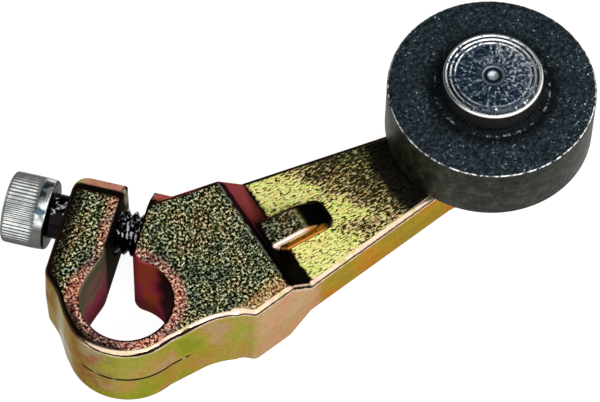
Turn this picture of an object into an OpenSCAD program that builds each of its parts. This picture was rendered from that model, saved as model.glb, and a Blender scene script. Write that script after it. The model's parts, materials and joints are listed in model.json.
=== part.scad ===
// Clamp-on roller lever for a rotary limit switch.
// Millimetres. The origin is on the shaft bore's axis at the hub's back face.
// +Z points along the shaft to the roller side, +X from the bore to the roller.

/* [Hub] */
// Diameter of the bore that clamps on the switch shaft
bore_d = 8.1; // [7.5:0.05:8.5]
// Outer diameter of the ring round the bore
hub_d = 11.5; // [11.2:0.1:12]
// Thickness of the hub, front face to back face
hub_h = 8.7; // [8.2:0.1:9.5]
// Width of the clamping slit
slit_w = 2.44; // [1.6:0.02:2.8]
// Distance of the slit's middle from the bore axis, towards the screw head
slit_offset = 2.05; // [1.8:0.05:2.3]
// Direction of the slit, degrees from +X
slit_angle = 45; // [40:1:50]
// Radius of the corners where the slit meets the bore
slit_corner_r = 1.2; // [0.8:0.1:1.4]
// Distance from the bore axis to the end of the two clamp ears
ear_end = 12.1; // [11.8:0.1:13]
// Distance of the free ear's outer face from the bore axis, across the slit
ear_side = 8.1; // [7.6:0.1:8.6]

/* [Arm] */
// Distance from the bore axis to the roller axis
arm_l = 38.1; // [35:0.1:45]
// Thickness of the arm
arm_h = 4.8; // [4:0.1:5.4]
// Half width of the lever's outline if it ran back to the bore axis
half_w = 8.9; // [8.5:0.05:9.2]
// Loss of half width for each millimetre towards the roller
taper = 0.16; // [0.14:0.01:0.17]
// Sideways shift of the lever's outline from the line bore to roller
side_shift = 0.2; // [0:0.05:0.3]
// Radius of the eye that holds the roller pin
eye_r = 5.2; // [4.6:0.1:5.6]
// Distance from the bore axis to the front edge of the thick block
block_end = 13.4; // [12.8:0.1:14]
// Length of the slope between the thick block and the arm
slope_run = 2.25; // [1.5:0.05:3]
// Width of the raised rib at the root of the arm
rib_w = 3.4; // [2.6:0.1:4]
// Height of the rib above the arm
rib_h = 1.3; // [0.8:0.1:1.8]

/* [Roller] */
// Outer diameter of the roller
roller_d = 19.05; // [16:0.05:22]
// Width of the roller
roller_w = 6.35; // [5:0.05:8]
// Diameter of the roller pin's shank
pin_d = 4.76; // [4:0.02:5.2]
// Diameter of the roller pin's head
pin_head_d = 9.1; // [8:0.1:10]
// Height of the roller pin's head
pin_head_h = 2.05; // [1.5:0.05:2.5]
// Thickness of the thrust washer between the arm and the roller
washer_h = 0.55; // [0.4:0.05:0.7]
// Outer diameter of the thrust washer
washer_d = 9.5; // [8.5:0.1:10]

/* [Clamp screw] */
// Distance of the screw axis from the bore axis, along the slit
screw_t = 9.25; // [9:0.05:9.4]
// Outside diameter of the screw thread
thread_d = 4.166; // [3.9:0.001:4.2]
// Length of the screw under its head
screw_l = 15.9; // [14.5:0.1:16.2]
// Gap between the screw head and the free ear, as it stands
head_gap = 1.6; // [0.8:0.1:2.2]
// Diameter of the screw head
head_d = 6.6; // [6:0.05:6.9]
// Height of the screw head
head_h = 4.1; // [3.8:0.05:4.4]
// Width across flats of the hex socket in the head
socket_af = 3.57; // [3:0.01:3.8]
// Depth of the hex socket
socket_depth = 2.2; // [1.6:0.1:2.6]

/* [Hidden] */

round_fn = 96;
edge = 0.4;                              // chamfer on the lever's outer edges
mid_z = hub_h / 2;
arm_back = (hub_h - arm_h) / 2;
arm_front = (hub_h + arm_h) / 2;
arm_drop = arm_back;                     // step from the block's face to the arm's face
block_foot = block_end + slope_run;
ear_bevel_run = 2.2;
ear_bevel_drop = 1.0;
slit_near = slit_offset - slit_w / 2;    // block-side wall
slit_far = slit_offset + slit_w / 2;     // ear-side wall
left_side = -5.0;                        // flat on the hub's left, beside the free ear
under_side = -5.6;                       // flat under the hub, towards the block
under_end = 7.2;                         // where that flat turns out to the block
block_corner = 9.0;

running_gap = 0.05;                      // radial clearance of a running fit
roller_z = arm_front + washer_h + 0.15;
head_z = roller_z + roller_w + 0.1;      // underside of the roller pin's head
rivet_d = 6.4;
rivet_depth = 0.7;
rivet_proud = 0.25;
roller_chamfer = 0.3;

head_n = ear_side + head_gap;            // underside of the screw head, along the screw axis
tapped_end = head_n - screw_l - 0.4;
tapped_d = thread_d + 2 * running_gap;
clearance_d = thread_d + 0.5;
screw_chamfer = 0.35;

function upper(x) = side_shift + half_w - taper * x;
function lower(x) = side_shift - half_w + taper * x;

// A point given along the slit (t) and across it (n)
function slit_point(t, n) = [t * cos(slit_angle) - n * sin(slit_angle),
                             t * sin(slit_angle) + n * cos(slit_angle)];

// Turns +Z into the screw's axis, pointing out of the head
module on_screw_axis() {
    axis_point = slit_point(screw_t, 0);
    translate([axis_point[0], axis_point[1], mid_z]) rotate([0, 90, slit_angle + 90]) children();
}

// A convex plate between two levels, with rounded corners and chamfered edges
module edged_plate(z0, z1, corner_r) {
    hull() {
        translate([0, 0, z0 + edge]) linear_extrude(z1 - z0 - 2 * edge)
            offset(r = corner_r, $fn = 32) offset(delta = -corner_r) children();
        translate([0, 0, z0]) linear_extrude(z1 - z0)
            offset(r = corner_r - edge, $fn = 32) offset(delta = -corner_r) children();
    }
}

// A round disc between two levels, with chamfered edges
module edged_disc(r, z0, z1) {
    rotate_extrude($fn = round_fn)
        polygon([[0, z0], [r - edge, z0], [r, z0 + edge],
                 [r, z1 - edge], [r - edge, z1], [0, z1]]);
}

module ears() {
    edged_plate(0, hub_h, 1.2)
        polygon([[left_side, 0.8], [left_side, left_side + ear_side * sqrt(2)],
                 slit_point(ear_end, ear_side), slit_point(ear_end, -2.9), [10, -2]]);
}

module thick_block() {
    edged_plate(0, hub_h, 1.2)
        polygon([[4, -2.5], [4, upper(4)], [block_foot + 1.4, upper(block_foot + 1.4)],
                 [block_foot + 1.4, lower(block_foot + 1.4)], [block_corner, lower(block_corner)]]);
}

module hub_ring() {
    edged_disc(hub_d / 2, 0, hub_h);
    translate([0, under_side, edge]) cube([under_end, -under_side, hub_h - 2 * edge]);
    translate([0, under_side + edge, 0]) cube([under_end, -under_side - edge, hub_h]);
}

module tapered_arm() {
    edged_plate(arm_back, arm_front, 0.6)
        polygon([[block_end - 2, lower(block_end - 2)], [arm_l - 1, lower(arm_l - 1)],
                 [arm_l - 1, upper(arm_l - 1)], [block_end - 2, upper(block_end - 2)]]);
    translate([arm_l, 0, 0]) edged_disc(eye_r, arm_back, arm_front);
}

module root_rib() {
    flat_end = block_foot + 2.2;
    rib_end = block_foot + 5.6;
    hull() {
        translate([block_end, side_shift - rib_w / 2, arm_front - 0.5])
            cube([rib_end - block_end, rib_w, 0.5]);
        translate([block_end, side_shift - rib_w / 2 + 0.45, arm_front - 0.5])
            cube([flat_end - block_end, rib_w - 0.9, rib_h + 0.5]);
    }
}

// Removes the corners of the block down to the arm's faces, and a little past them
module block_slopes() {
    below = arm_drop + edge;
    for (flip = [0, 1])
        translate([0, 0, flip * hub_h]) mirror([0, 0, flip])
            translate([0, 20, 0]) rotate([90, 0, 0]) linear_extrude(40)
                polygon([[block_end, 0], [block_end, -1], [block_foot + 3, -1],
                         [block_foot + 3, below],
                         [block_end + slope_run * below / arm_drop, below]]);
}

// Removes the corners of the ears' ends, front and back
module ear_bevels() {
    for (flip = [0, 1])
        translate([0, 0, flip * hub_h]) mirror([0, 0, flip])
            rotate([90, 0, slit_angle]) translate([0, 0, -12]) linear_extrude(24)
                polygon([[ear_end - ear_bevel_run, 0], [ear_end - ear_bevel_run, -1],
                         [ear_end + 3, -1], [ear_end + 3, ear_bevel_drop * 2.4],
                         [ear_end, ear_bevel_drop]]);
}

// Points of the rounded corner between the bore and one wall of the slit,
// as distances along and across the slit; side is -1 or 1
function slit_corner(wall_n, side) =
    let (centre_n = wall_n + side * slit_corner_r,
         centre_r = bore_d / 2 + slit_corner_r,
         centre_t = sqrt(centre_r * centre_r - centre_n * centre_n),
         first = 180 + atan(centre_n / centre_t),
         last = 180 + side * 90)
    concat([0.97 * bore_d / 2 / centre_r * [centre_t, centre_n]],
           [for (i = [1:8]) let (a = first + (last - first) * i / 8)
               [centre_t + slit_corner_r * cos(a), centre_n + slit_corner_r * sin(a)]]);

// The clamping slit, seen along the bore
module slit_outline() {
    far_side = slit_corner(slit_far, 1);
    rotate(slit_angle) polygon(concat(
        [[1, slit_offset]], slit_corner(slit_near, -1),
        [[ear_end + 3, slit_near], [ear_end + 3, slit_far]],
        [for (i = [8:-1:0]) far_side[i]]));
}

module lever_arm() color([0.55, 0.52, 0.22]) difference() {
    union() {
        difference() {
            thick_block();
            block_slopes();
        }
        difference() {
            ears();
            ear_bevels();
        }
        hub_ring();
        tapered_arm();
        root_rib();
    }
    translate([0, 0, -1]) cylinder(h = hub_h + 2, d = bore_d, $fn = round_fn);
    translate([0, 0, -1]) linear_extrude(hub_h + 2) slit_outline();
    on_screw_axis() {
        translate([0, 0, tapped_end])
            cylinder(h = slit_offset - tapped_end, d = tapped_d, $fn = round_fn);
        translate([0, 0, slit_offset]) cylinder(h = ear_side, d = clearance_d, $fn = round_fn);
    }
    translate([arm_l, 0, arm_back - 1]) cylinder(h = arm_h + 2, d = pin_d, $fn = round_fn);
    translate([arm_l, 0, arm_back - 0.01])
        cylinder(h = rivet_depth + 0.01, d1 = rivet_d, d2 = pin_d, $fn = round_fn);
}

module clamp_screw() color([0.80, 0.81, 0.82]) on_screw_axis() difference() {
    rotate_extrude($fn = round_fn)
        polygon([[0, head_n - screw_l], [thread_d / 2 - screw_chamfer, head_n - screw_l],
                 [thread_d / 2, head_n - screw_l + screw_chamfer], [thread_d / 2, head_n],
                 [head_d / 2 - 0.15, head_n], [head_d / 2, head_n + 0.15],
                 [head_d / 2, head_n + head_h - screw_chamfer],
                 [head_d / 2 - screw_chamfer, head_n + head_h], [0, head_n + head_h]]);
    translate([0, 0, head_n + head_h - socket_depth])
        cylinder(h = socket_depth + 1, d = socket_af / cos(30), $fn = 6);
}

module thrust_washer() color([0.62, 0.60, 0.55])
    translate([arm_l, 0, arm_front]) difference() {
        cylinder(h = washer_h, d = washer_d, $fn = round_fn);
        translate([0, 0, -1]) cylinder(h = washer_h + 2, d = pin_d + 0.2, $fn = round_fn);
    }

module roller() color([0.16, 0.18, 0.19])
    translate([arm_l, 0, roller_z]) rotate_extrude($fn = round_fn)
        polygon([[pin_d / 2 + running_gap, 0], [roller_d / 2 - roller_chamfer, 0],
                 [roller_d / 2, roller_chamfer], [roller_d / 2, roller_w - roller_chamfer],
                 [roller_d / 2 - roller_chamfer, roller_w], [pin_d / 2 + running_gap, roller_w]]);

module roller_pin() color([0.66, 0.70, 0.74])
    translate([arm_l, 0, 0]) rotate_extrude($fn = round_fn)
        polygon([[0, arm_back - rivet_proud], [rivet_d / 2 - 0.6, arm_back - rivet_proud],
                 [rivet_d / 2, arm_back], [pin_d / 2, arm_back + rivet_depth],
                 [pin_d / 2, head_z], [pin_head_d / 2, head_z],
                 [pin_head_d / 2, head_z + pin_head_h - 0.3],
                 [pin_head_d / 2 - 0.3, head_z + pin_head_h], [0, head_z + pin_head_h]]);

lever_arm();
clamp_screw();
thrust_washer();
roller();
roller_pin();
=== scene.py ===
"""Looks of a clamp-on roller lever for a rotary limit switch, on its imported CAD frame.

Every size below is in millimetres in the part's own frame and is turned into metres
when a mesh is made. +Z points along the shaft to the roller, +X from bore to roller.
"""

import json
import math

import bpy
import numpy as np
from mathutils import Euler, Matrix, Vector


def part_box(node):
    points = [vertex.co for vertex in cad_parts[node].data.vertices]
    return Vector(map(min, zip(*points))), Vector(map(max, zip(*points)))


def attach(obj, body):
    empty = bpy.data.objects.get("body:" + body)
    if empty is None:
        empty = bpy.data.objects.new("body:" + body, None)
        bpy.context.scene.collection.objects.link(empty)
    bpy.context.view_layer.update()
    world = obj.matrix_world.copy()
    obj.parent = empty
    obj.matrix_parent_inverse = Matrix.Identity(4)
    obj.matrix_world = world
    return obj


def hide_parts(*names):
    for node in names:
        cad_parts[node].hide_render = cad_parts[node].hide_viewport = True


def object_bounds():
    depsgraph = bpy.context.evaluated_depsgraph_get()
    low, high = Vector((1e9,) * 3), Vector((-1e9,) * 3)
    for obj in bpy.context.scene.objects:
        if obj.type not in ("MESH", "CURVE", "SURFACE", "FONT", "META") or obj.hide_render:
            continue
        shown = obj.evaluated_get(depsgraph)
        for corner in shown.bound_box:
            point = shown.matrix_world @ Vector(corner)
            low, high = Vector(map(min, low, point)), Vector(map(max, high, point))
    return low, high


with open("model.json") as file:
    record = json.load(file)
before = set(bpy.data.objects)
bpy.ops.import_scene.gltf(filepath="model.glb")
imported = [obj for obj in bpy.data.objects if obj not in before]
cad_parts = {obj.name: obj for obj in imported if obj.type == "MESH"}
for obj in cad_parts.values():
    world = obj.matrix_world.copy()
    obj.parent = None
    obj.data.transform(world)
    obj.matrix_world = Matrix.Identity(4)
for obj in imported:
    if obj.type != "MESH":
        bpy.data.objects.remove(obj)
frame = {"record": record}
CAD_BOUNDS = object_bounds()

MM = 0.001
MOUNTS = {m["name"]: m for m in frame["record"]["mounts"]}


def box_mm(node):
    """Lowest and highest corner of a CAD node, in millimetres."""
    low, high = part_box(node)
    return np.array(low) / MM, np.array(high) / MM


LEVER_LOW, LEVER_HIGH = box_mm("lever_arm")
WASHER_LOW, WASHER_HIGH = box_mm("thrust_washer")
ROLLER_LOW, ROLLER_HIGH = box_mm("roller")
PIN_LOW, PIN_HIGH = box_mm("roller_pin")

# Hub, ears and block
BORE_R = MOUNTS["shaft_clamp"]["dims"]["r_mm"]
HUB_H = LEVER_HIGH[2] - LEVER_LOW[2]
HUB_R = -LEVER_LOW[0]
MID_Z = HUB_H / 2
DRAFT = 0.14                 # how much the outline shrinks from the parting line to a face
EDGE_R = 0.6                 # rounding of the lever's outer edges
SMALL_EDGE_R = 0.2           # rounding along the bore and the slit
PARTING_DEPTH = 0.08
PARTING_HALF_WIDTH = 0.09
HALF_W = 8.93
TAPER = 0.16
SIDE_SHIFT = 0.2
LEFT_SIDE = -5.0
UNDER_SIDE = -5.6
UNDER_END = 7.2
BLOCK_START = 4.0
BLOCK_CORNER = 9.2
BLOCK_END = 13.4
SLOPE_RUN = 2.25
SLIT_OFFSET = 2.05
SLIT_HALF_W = 1.22
SLIT_CORNER_R = 1.2
EAR_END = 12.35
EAR_SIDE = 8.1
EAR_ROOT_END = 5.0           # how far the hub's fillet to the ears reaches
EAR_CORNER_R = 1.5
EAR_BEVEL_RUN = 1.95
EAR_BEVEL_DROP = 1.3
EAR_BEVEL_EDGE_R = 0.45
EAR_END_EDGE_R = 0.25        # rounding of the ears' far ends
BLOCK_CORNER_R = 1.0
BLOCK_FILLET_R = 1.6         # between the block and the hub
EAR_FILLET_R = 0.9           # between the ears and the hub
SLOPE_EDGE_R = 0.35

# Arm
ROLLER_X = (ROLLER_LOW[0] + ROLLER_HIGH[0]) / 2
ROLLER_R = ROLLER_HIGH[0] - ROLLER_X
ARM_FRONT = WASHER_LOW[2]
ARM_HALF_H = ARM_FRONT - MID_Z
EYE_R = 5.2
EYE_FILLET_R = 2.0
RIB_HALF_W = 1.55
RIB_MID_Y = -0.07
RIB_H = 1.3
RIB_FLAT_END = 18.3
RIB_END = 20.7
RIB_TAPER = 0.02
RIB_END_R = 0.9
RIB_TOP_R = 0.6
RIB_EDGE_R = 0.45
RIB_FILLET_R = 0.25

# Clamp screw
SCREW_T = 9.25
THREAD_R = 2.083
THREAD_PITCH = 0.794
THREAD_DEPTH = 0.47
THREAD_FLAT = 0.12           # share of the thread that is flat, at its top and at its root
TAPPED_END = -6.6
TAPPED_GAP = 0.05
CLEARANCE = 0.25
SCREW_L = 15.9
HEAD_N = 9.7                 # where the head's underside is, across the slit
HEAD_TOP = HEAD_N + 4.1
HEAD_R = 3.3
HEAD_EDGE_R = 0.35
COLLAR_END = HEAD_N + 1.1    # the head's smooth collar ends and its knurl starts here
SOCKET_AF = 3.57
SOCKET_DEPTH = 2.2
KNURL_TEETH = 54
KNURL_DEPTH = 0.18

# Roller and pin
RING_R = 5.15                # inner radius of the shallow worn ring in the roller's face
PIN_R = 2.38
PIN_HEAD_R = (PIN_HIGH[0] - PIN_LOW[0]) / 2
RIVET_R = 3.2
RIVET_DEPTH = 0.7
TOOL_MARK_PITCH = 0.42

# Studio
STUDIO_DARK = 0.03
STUDIO_BRIGHT = 1.7
CAMERA_PLACE = (-80.576, -157.905, 317.821)
CAMERA_TURN = (31.2141, -0.7399, -30.7366)
CAMERA_LENS = 240

SLIT_DIRECTION = math.radians(45)
GRID = 0.16                  # spacing of the grid that the lever's surface is made on


# ---------------------------------------------------------------- shapes as distances


def union(a, b):
    return np.minimum(a, b)


def round_union(a, b, r):
    """Both shapes, with a fillet of radius r where they meet."""
    corner = np.hypot(np.maximum(r - a, 0), np.maximum(r - b, 0))
    return np.maximum(r, np.minimum(a, b)) - corner


def round_common(a, b, r):
    """What is in both shapes, with its edge rounded to radius r."""
    corner = np.hypot(np.maximum(r + a, 0), np.maximum(r + b, 0))
    return np.minimum(-r, np.maximum(a, b)) + corner


def circle(x, y, centre, r):
    return np.hypot(x - centre[0], y - centre[1]) - r


def inset(corners, r):
    """Corners of a convex outline moved inwards by r. Corners run clockwise."""
    pts = np.array(corners, float)
    step = np.roll(pts, -1, axis=0) - pts
    step /= np.linalg.norm(step, axis=1, keepdims=True)
    inward = np.stack([step[:, 1], -step[:, 0]], axis=1)
    moved = []
    for i in range(len(pts)):
        rows = np.array([inward[i - 1], inward[i]])
        moved.append(np.linalg.solve(rows, rows @ pts[i] + r))
    return np.array(moved)


def rounded_outline(x, y, corners, r):
    """Distance to a convex outline whose corners, given clockwise, are rounded to r."""
    pts = inset(corners, r)
    nearest = np.full(np.broadcast(x, y).shape, np.inf)
    deepest = np.full(nearest.shape, -np.inf)
    for a, b in zip(pts, np.roll(pts, -1, axis=0)):
        edge = b - a
        length = math.hypot(*edge)
        along = ((x - a[0]) * edge[0] + (y - a[1]) * edge[1]) / length ** 2
        along = np.clip(along, 0, 1)
        near = np.hypot(x - a[0] - along * edge[0], y - a[1] - along * edge[1])
        nearest = np.minimum(nearest, near)
        side = ((y - a[1]) * edge[0] - (x - a[0]) * edge[1]) / length
        deepest = np.maximum(deepest, side)
    return np.where(deepest > 0, nearest, -nearest) - r


def slit_frame(x, y):
    """Distances along the slit and across it, the screw head's side being positive."""
    c, s = math.cos(SLIT_DIRECTION), math.sin(SLIT_DIRECTION)
    return x * c + y * s, y * c - x * s


def slit_point(t, n):
    c, s = math.cos(SLIT_DIRECTION), math.sin(SLIT_DIRECTION)
    return (t * c - n * s, t * s + n * c)


def upper(x):
    return SIDE_SHIFT + HALF_W - TAPER * x


def lower(x):
    return SIDE_SHIFT - HALF_W + TAPER * x


def ears_outline(x, y):
    return rounded_outline(x, y, [
        (LEFT_SIDE, 0.8), (LEFT_SIDE, LEFT_SIDE + EAR_SIDE * math.sqrt(2)),
        slit_point(EAR_END, EAR_SIDE), slit_point(EAR_END, -2.9), (10, -2)], EAR_CORNER_R)


def hub_and_block(x, y, h, draft):
    """The hub ring and the thick block; h is the distance from the parting plane."""
    far = BLOCK_END + SLOPE_RUN + 1.0
    block = rounded_outline(x, y, [
        (BLOCK_START, -2.5), (BLOCK_START, upper(BLOCK_START)), (far, upper(far)), (far, lower(far)),
        (BLOCK_CORNER, lower(BLOCK_CORNER))], BLOCK_CORNER_R)
    hub = circle(x, y, (0, 0), HUB_R)
    web = np.maximum(np.maximum(-x, x - UNDER_END), np.maximum(UNDER_SIDE - y, y))
    outline = round_union(union(hub, web), block, BLOCK_FILLET_R)
    ear_root = np.maximum(ears_outline(x, y), slit_frame(x, y)[0] - EAR_ROOT_END)
    outline = round_union(outline, ear_root, EAR_FILLET_R) + draft
    drop = MID_Z - ARM_HALF_H
    slope = ((x - BLOCK_END) * drop + (h - MID_Z) * SLOPE_RUN) / math.hypot(drop, SLOPE_RUN)
    face = round_common(h - MID_Z, slope, SLOPE_EDGE_R)
    return round_common(outline, face, EDGE_R)


def ears(x, y, h, draft):
    """The two clamp ears before the slit parts them, with bevelled ends."""
    t, _ = slit_frame(x, y)
    outline = ears_outline(x, y) + draft
    bevel = (t - EAR_END + EAR_BEVEL_RUN) * EAR_BEVEL_DROP + (h - MID_Z) * EAR_BEVEL_RUN
    bevel = bevel / math.hypot(EAR_BEVEL_DROP, EAR_BEVEL_RUN)
    face = round_common(h - MID_Z, bevel, EAR_BEVEL_EDGE_R)
    near_end = np.clip(t - EAR_END + 1.2, 0, 1)
    edge_r = EDGE_R + (EAR_END_EDGE_R - EDGE_R) * near_end * near_end * (3 - 2 * near_end)
    return round_common(outline, face, edge_r)


def arm(x, y, h, draft):
    """The flat tapered arm and the eye that holds the roller pin."""
    far = ROLLER_X - 1
    taper = rounded_outline(x, y, [
        (BLOCK_END - 2, lower(BLOCK_END - 2)), (BLOCK_END - 2, upper(BLOCK_END - 2)),
        (far, upper(far)), (far, lower(far))], 0.5)
    outline = round_union(taper, circle(x, y, (ROLLER_X, 0), EYE_R), EYE_FILLET_R) + draft
    return round_common(outline, h - ARM_HALF_H, EDGE_R)


def rib(x, y, z):
    """The raised rib at the arm's root, which slopes down to the arm's face."""
    half = RIB_HALF_W - RIB_TAPER * (x - BLOCK_END - SLOPE_RUN)
    outline = round_common(np.abs(y - RIB_MID_Y) - half, x - RIB_END - 0.35, RIB_END_R)
    outline = np.maximum(outline, BLOCK_END - x)
    top = z - ARM_FRONT - RIB_H
    run = RIB_END - RIB_FLAT_END
    ramp = ((x - RIB_FLAT_END) * RIB_H + top * run) / math.hypot(RIB_H, run)
    face = round_common(top, ramp, RIB_TOP_R)
    return np.maximum(round_common(outline, face, RIB_EDGE_R), MID_Z - z)


def openings(x, y, z):
    """Everything cut out of the lever: bore, slit, screw holes and pin hole."""
    t, n = slit_frame(x, y)
    bore = circle(x, y, (0, 0), BORE_R)
    slit = np.maximum(np.abs(n - SLIT_OFFSET) - SLIT_HALF_W, -t)
    shape = round_union(bore, slit, SLIT_CORNER_R)
    from_screw = np.hypot(t - SCREW_T, z - MID_Z)
    length = np.maximum(n - SLIT_OFFSET, TAPPED_END - n)
    tapped = np.maximum(from_screw - THREAD_R - TAPPED_GAP, length)
    clear = np.maximum(from_screw - THREAD_R - CLEARANCE, SLIT_OFFSET - n)
    pin = circle(x, y, (ROLLER_X, 0), PIN_R)
    steepness = (RIVET_R - PIN_R) / RIVET_DEPTH
    rivet = circle(x, y, (ROLLER_X, 0), RIVET_R) + (z - MID_Z + ARM_HALF_H) * steepness
    pin = union(pin, np.maximum(rivet / math.hypot(1, steepness), z - MID_Z))
    return union(union(shape, pin), union(tapped, clear))


def lever_field(x, y, z):
    """Distance to the whole lever, negative inside."""
    h = np.abs(z - MID_Z)
    draft = DRAFT * h / MID_Z
    parting = PARTING_DEPTH * np.exp(-((z - MID_Z) / PARTING_HALF_WIDTH) ** 2)
    parting = parting * np.clip((3.6 - x) / 1.2, 0, 1) * np.clip((-y - 1.2) / 1.2, 0, 1)
    body = union(hub_and_block(x, y, h, draft), ears(x, y, h, draft))
    body = union(body, arm(x, y, h, draft + 0.02)) + parting
    body = round_union(body, rib(x, y, z), RIB_FILLET_R)
    return round_common(body, -openings(x, y, z), SMALL_EDGE_R)


# ---------------------------------------------------------------- meshes


def corner_of(i, j, k, offset):
    return i + offset[0], j + offset[1], k + offset[2]


def surface_points(values, axes, active):
    """For each active grid cell, the mean of the points where its edges are crossed."""
    i, j, k = active
    offsets = [(a, b, c) for a in (0, 1) for b in (0, 1) for c in (0, 1)]
    total = np.zeros((len(i), 3))
    count = np.zeros(len(i))
    for a in offsets:
        for axis in range(3):
            if a[axis]:
                continue
            b = tuple(v + (m == axis) for m, v in enumerate(a))
            ia, ib = corner_of(i, j, k, a), corner_of(i, j, k, b)
            va, vb = values[ia], values[ib]
            crossed = (va < 0) != (vb < 0)
            share = np.where(crossed, va / np.where(crossed, va - vb, 1), 0)
            for m in range(3):
                start, end = axes[m][ia[m]], axes[m][ib[m]]
                total[:, m] += crossed * (start + share * (end - start))
            count += crossed
    return total / count[:, None]


def surface_faces(inside, index):
    """One four-sided face round each grid edge that the surface crosses."""
    faces = []
    for axis in range(3):
        u, v = [m for m in range(3) if m != axis]
        low = [slice(None)] * 3
        high = [slice(None)] * 3
        low[axis], high[axis] = slice(None, -1), slice(1, None)
        a, b = inside[tuple(low)], inside[tuple(high)]
        edges = np.argwhere(a != b)
        edges = edges[(edges[:, u] > 0) & (edges[:, v] > 0)]
        ring = []
        for du, dv in ((1, 1), (0, 1), (0, 0), (1, 0)):
            cell = edges.copy()
            cell[:, u] -= du
            cell[:, v] -= dv
            ring.append(index[tuple(cell.T)])
        ring = np.stack(ring, axis=1)
        flip = a[tuple(edges.T)] == (axis == 1)
        ring[flip] = ring[flip][:, ::-1]
        faces.append(ring)
    return np.concatenate(faces)


def settle(field, points, rounds=3, step=0.02):
    """Moves points on to the exact surface along the field's slope."""
    for _ in range(rounds):
        x, y, z = points.T
        value = field(x, y, z)
        slope = np.stack([
            field(x + step, y, z) - field(x - step, y, z),
            field(x, y + step, z) - field(x, y - step, z),
            field(x, y, z + step) - field(x, y, z - step)], axis=1) / (2 * step)
        size = np.maximum((slope ** 2).sum(axis=1), 0.2)
        move = slope * (value / size)[:, None]
        points = points - np.clip(move, -GRID / 2, GRID / 2)
    return points


def surface_of(field, axes):
    """Mesh of the surface where the field is zero."""
    x = axes[0][:, None, None]
    y = axes[1][None, :, None]
    z = axes[2][None, None, :]
    values = field(x, y, z)
    inside = values < 0
    corners = np.zeros(tuple(n - 1 for n in inside.shape), int)
    for a in (0, 1):
        for b in (0, 1):
            for c in (0, 1):
                part = inside[a:, b:, c:]
                corners += part[:corners.shape[0], :corners.shape[1], :corners.shape[2]]
    active = np.nonzero((corners > 0) & (corners < 8))
    index = np.full(corners.shape, -1)
    index[active] = np.arange(len(active[0]))
    points = settle(field, surface_points(values, axes, active))
    return points, surface_faces(inside, index)


def mesh_piece(name, points, faces, body):
    """A Blender object from points in millimetres and faces, riding on a CAD body."""
    mesh = bpy.data.meshes.new(name)
    mesh.from_pydata((np.asarray(points) * MM).tolist(), [], [list(f) for f in faces])
    mesh.validate()
    mesh.update()
    for polygon in mesh.polygons:
        polygon.use_smooth = True
    piece = bpy.data.objects.new(name, mesh)
    bpy.context.scene.collection.objects.link(piece)
    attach(piece, body)
    return piece


def revolved(profile, steps, radius_at=None):
    """Points and faces of a profile of (radius, height) turned about +Z.

    A profile that ends at radius 0 closes there with a fan; radius_at(angle, r, h)
    may change a radius as it goes round.
    """
    points, rings = [], []
    for r, h in profile:
        if r < 1e-9:
            rings.append([len(points)] * steps)
            points.append((0, 0, h))
            continue
        ring = []
        for i in range(steps):
            a = 2 * math.pi * i / steps
            radius = radius_at(a, r, h) if radius_at else r
            ring.append(len(points))
            points.append((radius * math.cos(a), radius * math.sin(a), h))
        rings.append(ring)
    faces = []
    for low, high in zip(rings, rings[1:]):
        for i in range(steps):
            j = (i + 1) % steps
            face = [low[i], low[j], high[j], high[i]]
            faces.append([v for m, v in enumerate(face) if v != face[m - 1]])
    return np.array(points), faces


def arc(centre, r, start, end, steps=6):
    """Profile points on an arc, angles in degrees."""
    angles = [math.radians(start + (end - start) * i / steps) for i in range(steps + 1)]
    return [(centre[0] + r * math.cos(a), centre[1] + r * math.sin(a)) for a in angles]


def placed(points, matrix):
    """Points in millimetres moved by a matrix whose shift is in millimetres."""
    return [tuple(matrix @ Vector(p)) for p in points]


# ---------------------------------------------------------------- pieces


def grid_lines(low, high, fine_at=None):
    """Grid lines from low to high, closer together near fine_at."""
    lines = [low]
    while lines[-1] < high:
        near = fine_at is not None and abs(lines[-1] + 0.03 - fine_at) < 0.22
        lines.append(lines[-1] + (0.045 if near else GRID))
    return np.array(lines)


def make_lever():
    axes = [
        grid_lines(LEVER_LOW[0] - 0.3, LEVER_HIGH[0] + 0.3),
        grid_lines(lower(6) - 0.6, LEVER_HIGH[1] + 0.6),
        grid_lines(LEVER_LOW[2] - 0.3, LEVER_HIGH[2] + 0.3, MID_Z),
    ]
    points, faces = surface_of(lever_field, axes)
    piece = mesh_piece("lever_cast", points, faces, "lever")
    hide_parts("lever_arm")
    return piece


def thread_radius(angle, h, start, end):
    """Radius of the screw's thread, which fades out towards both of its ends."""
    turn = (h / THREAD_PITCH - angle / (2 * math.pi)) % 1
    groove = 1 - abs(2 * turn - 1)
    groove = min(max((groove - THREAD_FLAT) / (1 - 2 * THREAD_FLAT), 0), 1)
    fade = min(max((h - start) / 0.3, 0), max((end - h) / 0.3, 0), 1)
    return THREAD_R - THREAD_DEPTH * groove * fade


def shank_profile():
    """From the screw's tip, past its chamfer, to just under the head."""
    tip = HEAD_N - SCREW_L
    start, end = tip + 0.35, HEAD_N - 0.4
    rings = int((end - start) / (THREAD_PITCH / 10))
    heights = [start + (end - start) * i / rings for i in range(rings + 1)]
    return [(0, tip), (THREAD_R - 0.5, tip)] + [(THREAD_R, h) for h in heights]


def head_profile():
    """From the shank, under the head, up its side and in to the socket's rim."""
    profile = [(THREAD_R, HEAD_N - 0.25)] + arc((THREAD_R + 0.25, HEAD_N - 0.25), 0.25, 180, 90, 4)
    profile += [(HEAD_R - 0.45, HEAD_N)]
    profile += arc((HEAD_R - 0.28, HEAD_N + 0.22), 0.22, -90, 0, 4)
    start, end = COLLAR_END + 0.05, HEAD_TOP - HEAD_EDGE_R
    profile += [(HEAD_R, COLLAR_END - 0.2), (HEAD_R, COLLAR_END - 0.05)]
    profile += [(HEAD_R, start + (end - start) * i / 6) for i in range(7)]
    return profile + arc((HEAD_R - HEAD_EDGE_R, end), HEAD_EDGE_R, 15, 90, 5)


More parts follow.
